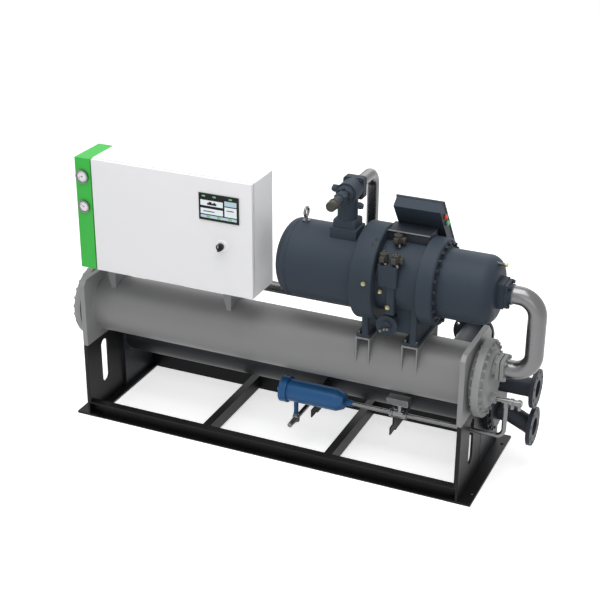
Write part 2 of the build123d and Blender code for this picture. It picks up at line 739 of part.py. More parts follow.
save("pressure_gauges", Compound(children=gauges))
body_y0 = cab_y0 + door_depth + door_back_gap
cabinet = block(strip_x1, cab_x1, body_y0, cab_y1, cab_z0, cab_z1)
cabinet -= block(strip_x1 + sheet_metal, cab_x1 - sheet_metal, body_y0 - over, cab_y1 - sheet_metal,
                 cab_z0 + sheet_metal, cab_z1 - sheet_metal)
panel = block(strip_x1 + mounting_margin, cab_x1 - mounting_margin, cab_y1 - standoff - 2 * sheet_metal,
              cab_y1 - standoff - sheet_metal, cab_z0 + mounting_margin, cab_z1 - mounting_margin)
for x in (strip_x1 + 2 * mounting_margin, cab_x1 - 2 * mounting_margin):
    for z in (cab_z0 + 2 * mounting_margin, cab_z1 - 2 * mounting_margin):
        panel += disc_y(standoff / 2, cab_y1 - standoff - 2 * sheet_metal, cab_y1 - sheet_metal, x, z)
save("cabinet_body", cabinet + panel)

# door: a folded tray on two pin hinges, notched where their leaves pass
door_x0 = strip_x1 + door_gap
door_back = cab_y0 + door_depth
axis_x = door_x0 + hinge_dx
axis_y = cab_y0 + hinge_dy
door = block(door_x0, cab_x1, cab_y0, door_back, cab_z0, cab_z1)
door -= block(door_x0 + sheet_metal, cab_x1 - sheet_metal, cab_y0 + sheet_metal, door_back + over,
              cab_z0 + sheet_metal, cab_z1 - sheet_metal)
hinges = []
for z in (cab_z0 + hinge_inset, cab_z1 - hinge_inset):
    door -= block(door_x0 - over, axis_x + hinge_knuckle, cab_y0 + sheet_metal, door_back + over,
                  z - hinge_half - 2 * running, z + hinge_half + 2 * running)
    for side in (-1, 1):
        z0, z1 = sorted((z + side * (hinge_half + 2 * running), z + side * (hinge_half + hinge_lug)))
        lug = disc_z(hinge_knuckle, z0, z1, axis_x, axis_y)
        lug += block(door_x0, axis_x, cab_y0, axis_y, z0, z1)
        lug -= disc_z(hinge_pin + running, z0 - over, z1 + over, axis_x, axis_y)
        door += lug
    hinge = disc_z(hinge_knuckle, z - hinge_half, z + hinge_half, axis_x, axis_y)
    hinge += disc_z(hinge_pin, z - hinge_half - hinge_lug, z + hinge_half + hinge_lug, axis_x, axis_y)
    hinge += block(axis_x, axis_x + sheet_metal, axis_y, body_y0 + hinge_lug, z - hinge_half, z + hinge_half)
    hinge += block(strip_x1 + sheet_metal, axis_x + sheet_metal, body_y0 + hinge_lug - sheet_metal,
                   body_y0 + hinge_lug, z - hinge_half, z + hinge_half)
    hinge += block(strip_x1 + sheet_metal, strip_x1 + 2 * sheet_metal, body_y0 + hinge_lug - sheet_metal,
                   body_y0 + 2 * hinge_lug, z - hinge_half, z + hinge_half)
    hinges.append(hinge)
door -= disc_y(knob_shaft + sheet_metal, cab_y0 - over, cab_y0 + sheet_metal + over, switch_x, switch_z)
save("cabinet_door", door)
save("door_hinges", Compound(children=hinges))
save("operator_screen", block(screen_x0, screen_x1, cab_y0 - screen_depth, cab_y0, screen_z0, screen_z1))
switch = disc_y(switch_radius, cab_y0 - switch_plate_depth, cab_y0, switch_x, switch_z, knob_shaft + running)
save("switch_plate", switch)
knob_back = cab_y0 - switch_plate_depth - knob_gap
knob = disc_y(knob_radius, knob_back - knob_depth, knob_back, switch_x, switch_z)
knob += disc_y(knob_shaft, knob_back, cab_y0 + 2 * knob_shaft, switch_x, switch_z)
save("switch_knob", knob)

# brackets between the evaporator and the cabinet
for x0, name in ((bracket1_x, "left"), (bracket2_x, "right")):
    x1 = x0 + bracket_width
    outline = make_face(Polyline(
        (x0, cab_z0), (x1, cab_z0), (x1, evap_z), (x0 + bracket_width / 3, evap_z),
        (x0 + bracket_width / 3, bracket_knee), (x0, bracket_knee + bracket_width), close=True))
    bracket = extrude(Pos(0, bracket_back, 0) * (Plane.XZ * outline), amount=bracket_back - bracket_front,
                      dir=(0, -1, 0))
    bracket -= block(x0 + bracket_wall, x1 - bracket_wall, bracket_front + bracket_wall, bracket_back + over,
                     evap_z - over, cab_z0 - bracket_wall)
    bracket -= disc_x(evap_radius + seat, x0 - over, x1 + over, evap_y, evap_z)
    save("cabinet_" + name + "_bracket", bracket)
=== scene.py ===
"""A water-cooled screw chiller on its steel base, in a plain studio. Metres."""
import json
import math
import random
import bpy
from mathutils import Matrix, Quaternion, Vector


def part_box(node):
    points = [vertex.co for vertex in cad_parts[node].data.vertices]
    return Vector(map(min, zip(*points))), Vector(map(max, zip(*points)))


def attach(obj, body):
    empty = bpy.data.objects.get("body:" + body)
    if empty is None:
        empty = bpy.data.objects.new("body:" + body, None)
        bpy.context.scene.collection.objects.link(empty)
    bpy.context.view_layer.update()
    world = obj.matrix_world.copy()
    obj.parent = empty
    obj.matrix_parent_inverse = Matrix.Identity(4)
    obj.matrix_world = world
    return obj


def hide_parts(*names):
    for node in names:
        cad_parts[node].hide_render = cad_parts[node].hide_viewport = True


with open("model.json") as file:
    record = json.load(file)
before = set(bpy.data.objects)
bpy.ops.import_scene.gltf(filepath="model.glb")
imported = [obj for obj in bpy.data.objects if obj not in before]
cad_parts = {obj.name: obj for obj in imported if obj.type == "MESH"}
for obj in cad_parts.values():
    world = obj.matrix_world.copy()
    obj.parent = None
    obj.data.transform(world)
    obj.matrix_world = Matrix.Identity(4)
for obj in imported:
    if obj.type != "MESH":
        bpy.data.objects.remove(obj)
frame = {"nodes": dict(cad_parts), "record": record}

random.seed(7)
nodes = frame["nodes"]
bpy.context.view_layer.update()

# camera: the photograph's place and angle
camera_place = (3.033, -6.722, 4.305)
camera_turn = 23.89
camera_rise = 25.01
camera_roll = 0.29
camera_lens = 81.35


def make_camera():
    """A camera that looks back along the photograph's line of sight."""
    a, e, r = (math.radians(v) for v in (camera_turn, camera_rise, camera_roll))
    back = Vector((math.sin(a) * math.cos(e), -math.cos(a) * math.cos(e), math.sin(e)))
    side = Vector((math.cos(a), math.sin(a), 0))
    up = back.cross(side)
    right = side * math.cos(r) + up * math.sin(r)
    top = up * math.cos(r) - side * math.sin(r)
    data = bpy.data.cameras.new("camera")
    data.lens = camera_lens
    data.sensor_width = 36
    camera = bpy.data.objects.new("camera", data)
    bpy.context.scene.collection.objects.link(camera)
    turn = Matrix((right, top, back)).transposed().to_4x4()
    camera.matrix_world = Matrix.Translation(camera_place) @ turn
    bpy.context.scene.camera = camera


def srgb(red, green, blue):
    """The linear colour of an 8-bit screen colour."""
    linear = []
    for value in (red, green, blue):
        v = value / 255
        linear.append(v / 12.92 if v <= 0.04045 else ((v + 0.055) / 1.055) ** 2.4)
    return (*linear, 1)


# shared shader groups


def new_group(name, inputs, outputs):
    """An empty shader group with named sockets, and its two end nodes."""
    group = bpy.data.node_groups.new(name, "ShaderNodeTree")
    for label, kind, value in inputs:
        socket = group.interface.new_socket(name=label, in_out="INPUT", socket_type=kind)
        socket.default_value = value
    for label, kind in outputs:
        group.interface.new_socket(name=label, in_out="OUTPUT", socket_type=kind)
    return group, group.nodes.new("NodeGroupInput"), group.nodes.new("NodeGroupOutput")


def add_math(tree, how, first, second, clamp=False):
    """A Math node; each of its two inputs is a socket or a number."""
    node = tree.nodes.new("ShaderNodeMath")
    node.operation = how
    node.use_clamp = clamp
    for slot, value in zip(node.inputs, (first, second)):
        if isinstance(value, (int, float)):
            slot.default_value = value
        else:
            tree.links.new(value, slot)
    return node.outputs[0]


def add_mix(tree, mask, low, high):
    """A colour mix; each input is a socket or a plain value."""
    node = tree.nodes.new("ShaderNodeMix")
    node.data_type = "RGBA"
    for slot, value in ((node.inputs[0], mask), (node.inputs[6], low), (node.inputs[7], high)):
        if isinstance(value, (int, float, tuple)):
            slot.default_value = value
        else:
            tree.links.new(value, slot)
    return node.outputs[2]


def add_noise(tree, scale, detail=2.0, rough=0.5):
    """Noise on the piece's own coordinates; scale is a socket or a number."""
    place = tree.nodes.new("ShaderNodeTexCoord")
    noise = tree.nodes.new("ShaderNodeTexNoise")
    noise.inputs["Detail"].default_value = detail
    noise.inputs["Roughness"].default_value = rough
    if isinstance(scale, (int, float)):
        noise.inputs["Scale"].default_value = scale
    else:
        tree.links.new(scale, noise.inputs["Scale"])
    tree.links.new(place.outputs["Object"], noise.inputs["Vector"])
    return noise.outputs["Fac"]


def add_ramp(tree, value, low, high):
    """A smooth step from 0 at low to 1 at high."""
    node = tree.nodes.new("ShaderNodeMapRange")
    node.interpolation_type = "SMOOTHSTEP"
    node.inputs["From Min"].default_value = low
    node.inputs["From Max"].default_value = high
    tree.links.new(value, node.inputs["Value"])
    return node.outputs[0]


def edge_group():
    """Edge wear: 1 where a sharp edge of the piece has lost its finish."""
    group, ends, out = new_group(
        "edge_wear",
        [("Width", "NodeSocketFloat", 0.004), ("Amount", "NodeSocketFloat", 0.5)],
        [("Mask", "NodeSocketFloat")])
    bevel = group.nodes.new("ShaderNodeBevel")
    bevel.samples = 4
    group.links.new(ends.outputs["Width"], bevel.inputs["Radius"])
    geometry = group.nodes.new("ShaderNodeNewGeometry")
    dot = group.nodes.new("ShaderNodeVectorMath")
    dot.operation = "DOT_PRODUCT"
    group.links.new(bevel.outputs[0], dot.inputs[0])
    group.links.new(geometry.outputs["True Normal"], dot.inputs[1])
    bend = add_math(group, "SUBTRACT", 1.0, dot.outputs["Value"], clamp=True)
    chips = add_ramp(group, add_noise(group, 60, 4, 0.7), 0.42, 0.62)
    worn = add_math(group, "MULTIPLY", add_ramp(group, bend, 0.02, 0.14), chips)
    group.links.new(add_math(group, "MULTIPLY", worn, ends.outputs["Amount"]), out.inputs["Mask"])
    return group


def dust_group():
    """Dust: 1 where dust has settled on upward faces."""
    group, ends, out = new_group("dust", [("Amount", "NodeSocketFloat", 0.3)], [("Mask", "NodeSocketFloat")])
    geometry = group.nodes.new("ShaderNodeNewGeometry")
    split = group.nodes.new("ShaderNodeSeparateXYZ")
    group.links.new(geometry.outputs["Normal"], split.inputs[0])
    up = add_ramp(group, split.outputs["Z"], 0.35, 1.0)
    cloud = add_ramp(group, add_noise(group, 5, 5, 0.6), 0.3, 0.75)
    settled = add_math(group, "MULTIPLY", up, cloud)
    group.links.new(add_math(group, "MULTIPLY", settled, ends.outputs["Amount"]), out.inputs["Mask"])
    return group


def skin_group():
    """A painted or cast skin: patches of tone, a fine grain and its height."""
    group, ends, out = new_group(
        "skin",
        [("Color", "NodeSocketColor", (0.5, 0.5, 0.5, 1)), ("Patches", "NodeSocketFloat", 0.06),
         ("Grain Scale", "NodeSocketFloat", 260.0), ("Roughness", "NodeSocketFloat", 0.4)],
        [("Color", "NodeSocketColor"), ("Roughness", "NodeSocketFloat"), ("Height", "NodeSocketFloat")])
    cloud = add_noise(group, 2.2, 5, 0.6)
    away = add_math(group, "SUBTRACT", cloud, 0.5)
    tone = add_math(group, "MULTIPLY", add_math(group, "MULTIPLY", away, ends.outputs["Patches"]), 4.0)
    scale = group.nodes.new("ShaderNodeHueSaturation")
    group.links.new(add_math(group, "ADD", tone, 1.0), scale.inputs["Value"])
    group.links.new(ends.outputs["Color"], scale.inputs["Color"])
    group.links.new(scale.outputs[0], out.inputs["Color"])
    grain = add_noise(group, ends.outputs["Grain Scale"], 3, 0.55)
    drift = add_math(group, "MULTIPLY", add_math(group, "SUBTRACT", grain, 0.5), 0.18)
    wide = add_math(group, "MULTIPLY", away, 0.25)
    rough = add_math(group, "ADD", ends.outputs["Roughness"], add_math(group, "ADD", drift, wide), clamp=True)
    group.links.new(rough, out.inputs["Roughness"])
    group.links.new(grain, out.inputs["Height"])
    return group


edge_wear = edge_group()
dust = dust_group()
skin = skin_group()


def place_group(tree, group, **values):
    """Places a shared group in a material with its own values."""
    node = tree.nodes.new("ShaderNodeGroup")
    node.node_tree = group
    for label, value in values.items():
        node.inputs[label.replace("_", " ")].default_value = value
    return node


# what shows where an edge is worn and where dust has settled
worn_colour = (0.30, 0.30, 0.30, 1)
worn_width = 0.003
dust_colour = (0.52, 0.50, 0.47, 1)
dust_roughness = 0.4


def finish_of(name, colour, rough, patches=0.06, grain=260, bump=0.03, metal=0.0, coat=0.0,
              wear=0.25, dusty=0.15, shine=0.5):
    """A material: a skin with worn edges and some dust."""
    material = bpy.data.materials.new(name)
    material.use_nodes = True
    tree = material.node_tree
    shader = tree.nodes["Principled BSDF"]
    shader.inputs["Metallic"].default_value = metal
    shader.inputs["Coat Weight"].default_value = coat
    shader.inputs["Coat Roughness"].default_value = 0.12
    shader.inputs["Specular IOR Level"].default_value = shine
    base = place_group(tree, skin, Color=colour, Patches=patches, Grain_Scale=grain, Roughness=rough)
    worn = place_group(tree, edge_wear, Width=worn_width, Amount=wear)
    settled = place_group(tree, dust, Amount=dusty)
    shade = add_mix(tree, worn.outputs["Mask"], base.outputs["Color"], worn_colour)
    shade = add_mix(tree, settled.outputs["Mask"], shade, dust_colour)
    tree.links.new(shade, shader.inputs["Base Color"])
    roughness = add_math(tree, "ADD", base.outputs["Roughness"],
                         add_math(tree, "MULTIPLY", settled.outputs["Mask"], dust_roughness), clamp=True)
    tree.links.new(roughness, shader.inputs["Roughness"])
    height = tree.nodes.new("ShaderNodeBump")
    height.inputs["Strength"].default_value = bump
    height.inputs["Distance"].default_value = 0.002
    tree.links.new(base.outputs["Height"], height.inputs["Height"])
    tree.links.new(height.outputs[0], shader.inputs["Normal"])
    return material


cabinet_paint = finish_of("cabinet_paint", srgb(231, 231, 233), 0.38, 0.015, 420, 0.05, wear=0.08, dusty=0.0)
green_paint = finish_of("green_paint", srgb(38, 176, 54), 0.38, 0.02, 420, 0.05, wear=0.08, dusty=0.0)
vessel_paint = finish_of("vessel_paint", srgb(122, 122, 123), 0.45, 0.04, 300, 0.05, wear=0.2, dusty=0.05)
sheet_paint = finish_of("sheet_paint", srgb(134, 134, 135), 0.45, 0.05, 300, 0.05, wear=0.2, dusty=0.05)
cap_paint = finish_of("cap_paint", srgb(140, 141, 141), 0.55, 0.09, 130, 0.3, wear=0.25, dusty=0.05)
cast_paint = finish_of("cast_paint", srgb(52, 60, 70), 0.5, 0.05, 420, 0.10, wear=0.15, dusty=0.0,
                       shine=0.12)
rough_cast_paint = finish_of("rough_cast_paint", srgb(51, 59, 68), 0.55, 0.06, 170, 0.35, wear=0.2,
                             dusty=0.0, shine=0.12)
# dark paint of the compressor's bolts; on the wall and plate under the terminal box it is painted shade
dark_cast_and_shade_paint = finish_of("dark_cast_and_shade_paint", srgb(40, 45, 52), 0.5, 0.06, 220, 0.2, wear=0.04, dusty=0.0,
                            shine=0.2)
condenser_paint = finish_of("condenser_paint", srgb(25, 28, 33), 0.4, 0.05, 300, 0.05, wear=0.12, dusty=0.02,
                            shine=0.3)
frame_paint = finish_of("frame_paint", srgb(13, 13, 14), 0.42, 0.06, 300, 0.06, wear=0.08, dusty=0.01,
                        shine=0.2)
drier_paint = finish_of("drier_paint", srgb(20, 78, 126), 0.35, 0.04, 300, 0.04, wear=0.15, dusty=0.0,
                        shine=0.3)
water_paint = finish_of("water_paint", srgb(40, 45, 54), 0.45, 0.05, 300, 0.06, wear=0.2, dusty=0.02,
                        shine=0.25)
box_paint = finish_of("box_paint", srgb(96, 98, 100), 0.42, 0.04, 400, 0.08, wear=0.2)
pipe_steel = finish_of("pipe_steel", srgb(116, 116, 117), 0.3, 0.06, 40, 0.0, metal=1.0, wear=0.0, dusty=0.0)
dark_steel = finish_of("dark_steel", srgb(74, 75, 76), 0.35, 0.08, 200, 0.05, metal=1.0, wear=0.0, dusty=0.05)
zinc = finish_of("zinc", srgb(124, 124, 125), 0.32, 0.1, 220, 0.05, metal=1.0, wear=0.0, dusty=0.05)
brass = finish_of("brass", srgb(166, 160, 118), 0.3, 0.05, 200, 0.03, metal=1.0, wear=0.0)
red_lens = finish_of("red_lens", srgb(230, 66, 28), 0.35, 0.03, 200, 0.02, wear=0.0, dusty=0.0, shine=0.15)
green_lens = finish_of("green_lens", srgb(112, 206, 124), 0.35, 0.03, 200, 0.02, wear=0.0, dusty=0.0,
                       shine=0.15)
black_plastic = finish_of("black_plastic", srgb(22, 22, 24), 0.38, 0.04, 600, 0.08, wear=0.0, dusty=0.0,
                          shine=0.25)
coil_plastic = finish_of("coil_plastic", srgb(60, 58, 52), 0.5, 0.06, 400, 0.1, wear=0.0, dusty=0.0,
                         shine=0.25)
white_plastic = finish_of("white_plastic", srgb(246, 246, 245), 0.35, 0.02, 600, 0.04, wear=0.0, dusty=0.0)
dial_white = finish_of("dial_white", srgb(232, 232, 234), 0.3, 0.02, 500, 0.0, coat=0.8, wear=0.0, dusty=0.0)
glass_dark = finish_of("glass_dark", srgb(16, 18, 22), 0.2, 0.02, 500, 0.0, wear=0.0, dusty=0.0, shine=0.2)
glass_blue = finish_of("glass_blue", srgb(176, 200, 214), 0.15, 0.02, 500, 0.0, coat=0.6, wear=0.0, dusty=0.0)
glass_pale = finish_of("glass_pale", srgb(226, 234, 238), 0.15, 0.02, 500, 0.0, coat=0.6, wear=0.0, dusty=0.0)
glass_green = finish_of("glass_green", srgb(96, 190, 120), 0.15, 0.02, 500, 0.0, coat=0.6, wear=0.0,
                        dusty=0.0)

# the CAD pieces: finish, width of their rounded edges and the nodes that have them
coats = (
    (cabinet_paint, 0.0012, ("cabinet_body",)),
    (cabinet_paint, 0.003, ("cabinet_door",)),
    (zinc, 0, ("door_hinges",)),
    (green_paint, 0.003, ("cabinet_end_cover",)),
    (white_plastic, 0.0015, ("switch_plate",)),
    (zinc, 0.0008, ("pressure_gauges",)),
    (black_plastic, 0.0015, ("operator_screen",)),
    (vessel_paint, 0, ("evaporator_shell",)),
    (sheet_paint, 0.003, ("evaporator_left_tube_sheet", "evaporator_right_tube_sheet")),
    (vessel_paint, 0.003, ("compressor_left_saddle", "compressor_right_saddle",
                           "cabinet_left_bracket", "cabinet_right_bracket")),
    (cap_paint, 0.004, ("evaporator_left_cap", "evaporator_right_cap")),
    (cap_paint, 0.003, ("evaporator_suction_flange",)),
    (cast_paint, 0.004, ("oil_separator", "motor_housing", "terminal_box")),
    (rough_cast_paint, 0.004, ("rotor_housing",)),
    (rough_cast_paint, 0.002, ("discharge_valve", "suction_flange")),
    (coil_plastic, 0.002, ("solenoid_valves",)),
    (condenser_paint, 0, ("condenser_shell",)),
    (condenser_paint, 0.003, ("condenser_left_tube_sheet", "condenser_right_tube_sheet",
                              "condenser_left_cap", "condenser_right_cap")),
    (frame_paint, 0.002, ("left_foot_plate", "right_foot_plate", "front_rail", "back_rail", "cross_bars",
                          "left_leg", "right_leg", "pipe_hangers")),
    (drier_paint, 0.002, ("filter_drier",)),
    (pipe_steel, 0.0006, ("suction_pipe", "discharge_pipe", "liquid_pipe")),
    (zinc, 0.001, ("eye_bolt", "expansion_valve", "service_valves")),
    (water_paint, 0.002, ("evaporator_inlet", "evaporator_outlet", "condenser_inlet", "condenser_outlet")),
    (red_lens, 0, ("indicator_lamps",)),
    (black_plastic, 0, ("switch_knob",)),
)


# modelling helpers


def activate(*pieces):
    """Selects just these pieces, the first of them active."""
    bpy.ops.object.select_all(action="DESELECT")
    for piece in pieces:
        piece.select_set(True)
    bpy.context.view_layer.objects.active = pieces[0]


def edit_faces(piece, test):
    """Enters edit mode on a piece with just the faces that pass the test selected."""
    activate(piece)
    bpy.ops.object.mode_set(mode="EDIT")
    bpy.ops.mesh.select_mode(type="FACE")
    bpy.ops.mesh.select_all(action="DESELECT")
    bpy.ops.object.mode_set(mode="OBJECT")
    for face in piece.data.polygons:
        face.select = test(face)
    bpy.ops.object.mode_set(mode="EDIT")


def finish_piece(name, made, material, body="frame"):
    """Joins what was made into one piece with a name, a finish and a body."""
    activate(*made)
    if len(made) > 1:
        bpy.ops.object.join()
    piece = bpy.context.object
    bpy.ops.object.transform_apply(location=True, rotation=True, scale=True)
    bpy.ops.object.shade_smooth_by_angle(angle=math.radians(35))
    piece.name = name
    piece.data.name = name
    piece.data.materials.clear()
    piece.data.materials.append(material)
    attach(piece, body)
    return piece


def round_piece(radius, start, end, bevel=0.0, vertices=32):
    """A disc, a rod or a hexagon from one point to another, its ends' edges rounded."""
    start, end = Vector(start), Vector(end)
    span = end - start
    bpy.ops.mesh.primitive_cylinder_add(vertices=vertices, radius=radius, depth=span.length)
    piece = bpy.context.object
    if bevel:
        edit_faces(piece, lambda face: abs(face.normal.z) > 0.9)
        bpy.ops.mesh.bevel(offset=bevel, segments=2, affect="EDGES")
        bpy.ops.object.mode_set(mode="OBJECT")
    piece.rotation_mode = "QUATERNION"
    piece.rotation_quaternion = span.to_track_quat("Z", "Y")
    piece.location = (start + end) / 2
    return piece


def slab(low, high, bevel=0.0, segments=2):
    """A block between two corners with its edges rounded."""
    low, high = Vector(low), Vector(high)
    bpy.ops.mesh.primitive_cube_add(size=1, location=(low + high) / 2)
    piece = bpy.context.object
    piece.scale = high - low
    bpy.ops.object.transform_apply(location=False, rotation=False, scale=True)
    if bevel:
        edit_faces(piece, lambda face: True)
        bpy.ops.mesh.bevel(offset=bevel, segments=segments, affect="EDGES")
        bpy.ops.object.mode_set(mode="OBJECT")
    return piece


def hex_bolt(radius, height):
    """A hexagon head with a chamfered top on its washer, standing on the origin."""
    bpy.ops.mesh.primitive_cylinder_add(vertices=12, radius=radius * 1.22, depth=height * 0.2,
                                        location=(0, 0, height * 0.1))
    washer = bpy.context.object
    bpy.ops.mesh.primitive_cylinder_add(vertices=6, radius=radius, depth=height * 0.8,
                                        location=(0, 0, height * 0.6))
    head = bpy.context.object
    edit_faces(head, lambda face: face.normal.z > 0.9)
    bpy.ops.mesh.bevel(offset=radius * 0.14, segments=1, affect="EDGES")
    bpy.ops.object.mode_set(mode="OBJECT")
    activate(head, washer)
    bpy.ops.object.join()
    bpy.ops.object.transform_apply(location=True, rotation=True, scale=True)
    return bpy.context.object


def spread(model, name, places, facing, material, body="frame"):
    """Copies of a small model at each place, turned to face one way, as one piece."""
    turn = Vector(facing).to_track_quat("Z", "Y")
    made = []
    for place in places:
        twin = model.copy()
        twin.data = model.data.copy()
        bpy.context.scene.collection.objects.link(twin)
        twin.rotation_mode = "QUATERNION"
        twin.rotation_quaternion = turn @ Quaternion((0, 0, 1), random.uniform(0, math.pi))
        twin.location = place
        made.append(twin)
    bpy.data.objects.remove(model)
    return finish_piece(name, made, material, body)


def ring_places(x, y, z, radius, count, first=0.0):
    """Places round a bolt circle whose axis runs along X."""
    turns = [math.radians(first + 360 * step / count) for step in range(count)]
    return [(x, y + radius * math.cos(turn), z + radius * math.sin(turn)) for turn in turns]


def corner_places(x, y, z, dx=0, dy=0, dz=0):
    """The four corners of a flange about its middle, half its bolt spacing away on two axes."""
    return [(x + first * dx, y + first * dy, z + second * dz) for first in (-1, 1) for second in (-1, 1)]


def soften(node, width, material):
    """A copy of a CAD piece with its sharp edges rounded, which stands for it."""
    source = nodes[node]
    piece = source.copy()
    piece.data = source.data.copy()
    bpy.context.scene.collection.objects.link(piece)
    piece.name = node + "_finished"
    activate(piece)
    bpy.ops.object.mode_set(mode="EDIT")
    bpy.ops.mesh.select_all(action="SELECT")
    bpy.ops.mesh.remove_doubles(threshold=0.00002)
    bpy.ops.mesh.dissolve_limited(angle_limit=math.radians(0.5))
    bpy.ops.object.mode_set(mode="OBJECT")
    bevel = piece.modifiers.new("edges", "BEVEL")
    bevel.width = width
    bevel.segments = 2
    bevel.limit_method = "ANGLE"
    bevel.angle_limit = math.radians(40)
    bpy.ops.object.modifier_apply(modifier=bevel.name)
    bpy.ops.object.shade_smooth_by_angle(angle=math.radians(32))
    weights = piece.modifiers.new("weights", "WEIGHTED_NORMAL")
    weights.keep_sharp = True
    weights.weight = 100
    bpy.ops.object.modifier_apply(modifier=weights.name)
    piece.data.materials.clear()
    piece.data.materials.append(material)
    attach(piece, carrier[node])
    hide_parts(node)


# finishes and rounded edges of the CAD pieces
carrier = {node: body for body, members in frame["record"]["behaviour"]["bodies"].items() for node in members}
for material, width, members in coats:
    for name in members:
        nodes[name].data.materials.clear()
        nodes[name].data.materials.append(material)
        if width:
            soften(name, width, material)


# detail pieces: the axes and radii that they share, in metres in the part's own frame
compressor_y, compressor_z = -0.165, 1.237
barrel_radius, coil_radius = 0.208, 0.024
valve_x, valve_y, valve_z = 0.433, -0.205, 1.69
liquid_y, liquid_z = -0.205, 0.372


def middle_of(node):
    """The middle of a CAD piece."""
    low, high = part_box(node)
    return (low + high) / 2


def gauges():
    """Two dials with their scale and pointer behind the rims on the end cover."""
    low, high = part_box("pressure_gauges")
    rim, recess, upper_radius, lower_radius = 0.0095, 0.0058, 0.042, 0.039
    x, face = (low.x + high.x) / 2, low.y + recess
    dials, marks = [], []
    for z, radius, reading in ((high.z - upper_radius, upper_radius - rim, 205),
                               (low.z + lower_radius, lower_radius - rim, 150)):
        dials.append(round_piece(radius, (x, face, z), (x, face - 0.001, z), 0.0003, 48))
        marks.append(round_piece(0.003, (x, face, z), (x, face - 0.003, z), 0.0006, 16))
        scale_edge = radius - 0.003
        for step in range(28):
            turn = math.radians(-45 + 10 * step)
            length = 0.005 if step % 3 == 0 else 0.003
            marks.append(dial_stroke(x, face - 0.0011, z, turn, scale_edge - length, scale_edge, 0.0007))
        marks.append(dial_stroke(x, face - 0.0014, z, math.radians(reading), -0.007, radius - 0.006, 0.0014))
    finish_piece("gauge_dials", dials, dial_white)
    finish_piece("gauge_marks", marks, black_plastic)


def dial_stroke(x, y, z, turn, inner, outer, width):
    """A thin stroke on a dial, at a turn about the dial's axis."""
    bpy.ops.mesh.primitive_cube_add(size=1)
    stroke = bpy.context.object
    stroke.scale = (outer - inner, 0.0004, width)
    stroke.rotation_euler = (0, -turn, 0)
    reach = (outer + inner) / 2
    stroke.location = (x + reach * math.cos(turn), y, z + reach * math.sin(turn))
    return stroke


def screen():
    """A glass front with a plain picture of panels, bars and keys."""
    low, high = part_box("operator_screen")
    wide, tall, front, rim = high.x - low.x, high.z - low.z, low.y, 0.005
    glass = slab((low.x + rim, front - 0.0006, low.z + rim),
                 (high.x - rim, front + 0.001, high.z - rim), 0.0004, 1)
    finish_piece("screen_glass", [glass], glass_dark, "door")
    pictures = (
        ("screen_panels", glass_pale, 0.001, ((0.05, 0.49, 0.61, 0.82), (0.05, 0.24, 0.61, 0.45),
                                              (0.65, 0.24, 0.95, 0.60))),
        ("screen_bars", glass_blue, 0.001, ((0.65, 0.64, 0.95, 0.82), (0.05, 0.10, 0.95, 0.20))),
        ("screen_keys", glass_green, 0.0016, ((0.09, 0.88, 0.17, 0.93), (0.36, 0.88, 0.44, 0.93),
                                              (0.76, 0.88, 0.84, 0.93), (0.20, 0.11, 0.29, 0.19),
                                              (0.46, 0.11, 0.54, 0.19), (0.74, 0.11, 0.83, 0.19))),
        ("screen_shapes", glass_dark, 0.0016, ((0.05, 0.76, 0.61, 0.82), (0.05, 0.49, 0.61, 0.55),
                                               (0.22, 0.59, 0.45, 0.66), (0.26, 0.66, 0.33, 0.71),
                                               (0.38, 0.66, 0.42, 0.70), (0.12, 0.33, 0.40, 0.36),
                                               (0.70, 0.46, 0.88, 0.49))),
    )
    for name, material, lift, areas in pictures:
        made = [slab((low.x + wide * x0, front - lift, low.z + tall * z0),
                     (low.x + wide * x1, front - 0.0004, low.z + tall * z1)) for x0, z0, x1, z1 in areas]
        finish_piece(name, made, material, "door")


def cabinet_fit_out():
    """A zinc sheet with its nuts on the mounting plate, and a seal inside the door."""
    low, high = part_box("cabinet_body")
    face, margin, nut_margin = -0.176, 0.061, 0.12
    sheet = slab((low.x + margin, face - 0.0006, low.z + margin),
                 (high.x - margin, face + 0.001, high.z - margin), 0.0004, 1)
    finish_piece("mounting_sheet", [sheet], zinc)
    places = [(x, face, z) for x in (low.x + nut_margin, high.x - nut_margin)
              for z in (low.z + nut_margin, high.z - nut_margin)]
    spread(hex_bolt(0.008, 0.007), "mounting_nuts", places, (0, -1, 0), dark_steel)
    low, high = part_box("cabinet_door")
    back, inset, width, thickness = low.y + 0.0024, 0.022, 0.009, 0.007
    x0, z0, x1, z1 = low.x + inset, low.z + inset, high.x - inset, high.z - inset
    runs = ((x0, z0, x1, z0 + width), (x0, z1 - width, x1, z1),
            (x0, z0, x0 + width, z1), (x1 - width, z0, x1, z1))
    seal = [slab((left, back, foot), (right, back + thickness, top), 0.002)
            for left, foot, right, top in runs]
    finish_piece("door_seal", seal, black_plastic, "door")


def selector():
    """The main switch: a round black knob with a grip bar and a white mark."""
    low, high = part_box("switch_knob")
    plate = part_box("switch_plate")[0].y
    x, z = (low.x + high.x) / 2, (low.z + high.z) / 2
    grip_half, grip_reach, mark_half = 0.0075, 0.0205, 0.0012
    base = round_piece(0.0215, (x, plate - 0.0055, z), (x, low.y + 0.014, z), 0.003)
    shaft = round_piece(0.008, (x, plate - 0.006, z), (x, high.y, z), vertices=16)
    grip = slab((x - grip_half, low.y + 0.001, z - grip_reach),
                (x + grip_half, low.y + 0.018, z + grip_reach), 0.003)
    knob = finish_piece("selector_knob", [base, shaft, grip], black_plastic, "knob")
    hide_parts("switch_knob")
    mark = slab((x - mark_half, low.y + 0.0004, z + 0.004), (x + mark_half, low.y + 0.003, z + 0.018))
    finish_piece("selector_mark", [mark], white_plastic, "knob")


